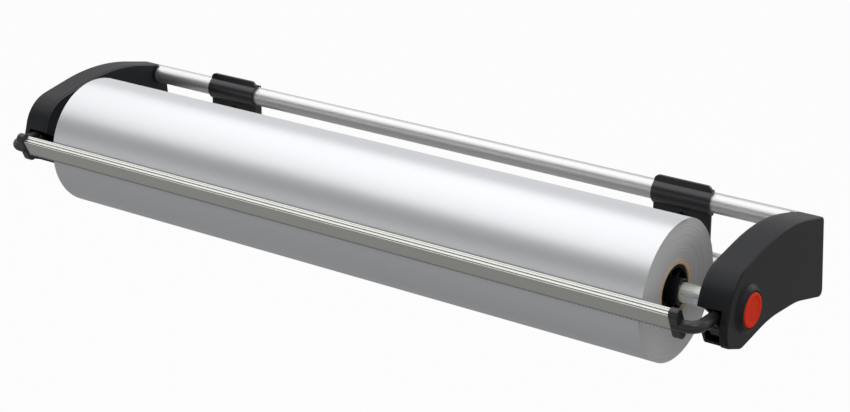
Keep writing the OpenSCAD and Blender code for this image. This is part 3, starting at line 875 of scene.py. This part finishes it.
# Each lamp's place, aim, power in watts and two sides
LAMPS = {
    "key": ((-0.95, -0.21, 1.6), (-0.85, -0.22, 0), 33.5, (2.7, 2.9)),
    "fill": ((1.5, -0.7, 1.7), (0.38, -0.17, 0), 9, (0.9, 0.9)),
    "rim": ((0.9, 1.5, 0.9), (0, -0.17, 0), 5, (1.2, 0.7)),
}
CAMERA_AT = (1.26274, -1.79349, 0.77399)
CAMERA_RIGHT = (0.8087748, 0.5881185, 0.0)
CAMERA_UP = (-0.2069534, 0.2846003, 0.9360411)
CAMERA_BACK = (0.5505031, -0.7570465, 0.3518906)
CAMERA_LENS = 89.475
CAMERA_SENSOR = 36

scene = bpy.context.scene
scene.view_settings.view_transform = "Standard"


def floor_material():
    """A matt grey that keeps the object's shadow, mixed with plain white for the rays in FLOOR_WHITE."""
    made, tree, shader = material("floor_white", grey(FLOOR_GREY), 0.9)
    white = tree.nodes.new("ShaderNodeEmission")
    white.inputs["Strength"].default_value = 1.0
    path = tree.nodes.new("ShaderNodeLightPath")
    seen = None
    for kind, share in FLOOR_WHITE:
        part = tree.nodes.new("ShaderNodeMath")
        part.operation = "MULTIPLY_ADD"
        part.inputs[1].default_value = share
        part.inputs[2].default_value = 0
        link(tree, path.outputs[kind], part.inputs[0])
        if seen is not None:
            link(tree, seen, part.inputs[2])
        seen = part.outputs["Value"]
    mix = tree.nodes.new("ShaderNodeMixShader")
    link(tree, seen, mix.inputs["Fac"])
    link(tree, shader.outputs["BSDF"], mix.inputs[1])
    link(tree, white.outputs["Emission"], mix.inputs[2])
    link(tree, mix.outputs["Shader"], tree.nodes["Material Output"].inputs["Surface"])
    return made


def make_floor():
    r = FLOOR_REACH
    mesh = bpy.data.meshes.new("floor")
    corners = [(-r, -r), (r, -r), (r, r), (-r, r)]
    mesh.from_pydata([(x, y, FLOOR_Z) for x, y in corners], [], [(0, 1, 2, 3)])
    mesh.materials.append(floor_material())
    linked("floor", mesh)


def ranged(tree, value, low, high):
    """A value between low and high, as a share from 0 to 1."""
    node = tree.nodes.new("ShaderNodeMapRange")
    node.inputs["From Min"].default_value = low
    node.inputs["From Max"].default_value = high
    link(tree, value, node.inputs["Value"])
    return node.outputs["Result"]


def make_world():
    world = bpy.data.worlds.new("studio")
    scene.world = world
    world.use_nodes = True
    tree = world.node_tree
    place = tree.nodes.new("ShaderNodeTexCoord")
    parts = tree.nodes.new("ShaderNodeSeparateXYZ")
    link(tree, place.outputs["Generated"], parts.inputs["Vector"])
    up = ranged(tree, parts.outputs["Z"], -1, 1)
    both = tree.nodes.new("ShaderNodeMix")
    both.data_type = "RGBA"
    link(tree, ranged(tree, parts.outputs["Y"], -0.3, 0.3), both.inputs["Factor"])
    link(tree, ramp(tree, up, STUDIO_FRONT), both.inputs["A"])
    link(tree, ramp(tree, up, STUDIO_REAR), both.inputs["B"])
    background = tree.nodes["Background"]
    background.inputs["Strength"].default_value = 1.0
    link(tree, both.outputs["Result"], background.inputs["Color"])


def make_lamp(name, at, to, power, sides):
    light = bpy.data.lights.new(name, "AREA")
    light.shape = "RECTANGLE"
    light.size, light.size_y = sides
    light.energy = power
    lamp = linked(name, light)
    lamp.location = at
    lamp.rotation_mode = "QUATERNION"
    lamp.rotation_quaternion = (Vector(to) - Vector(at)).to_track_quat("-Z", "Y")


def make_camera():
    optics = bpy.data.cameras.new("camera")
    optics.lens = CAMERA_LENS
    optics.sensor_width = CAMERA_SENSOR
    camera = linked("camera", optics)
    place = Matrix((CAMERA_RIGHT, CAMERA_UP, CAMERA_BACK)).transposed().to_4x4()
    place.translation = Vector(CAMERA_AT)
    camera.matrix_world = place
    scene.camera = camera


make_floor()
make_world()
for name, lamp in LAMPS.items():
    make_lamp(name, *lamp)
make_camera()
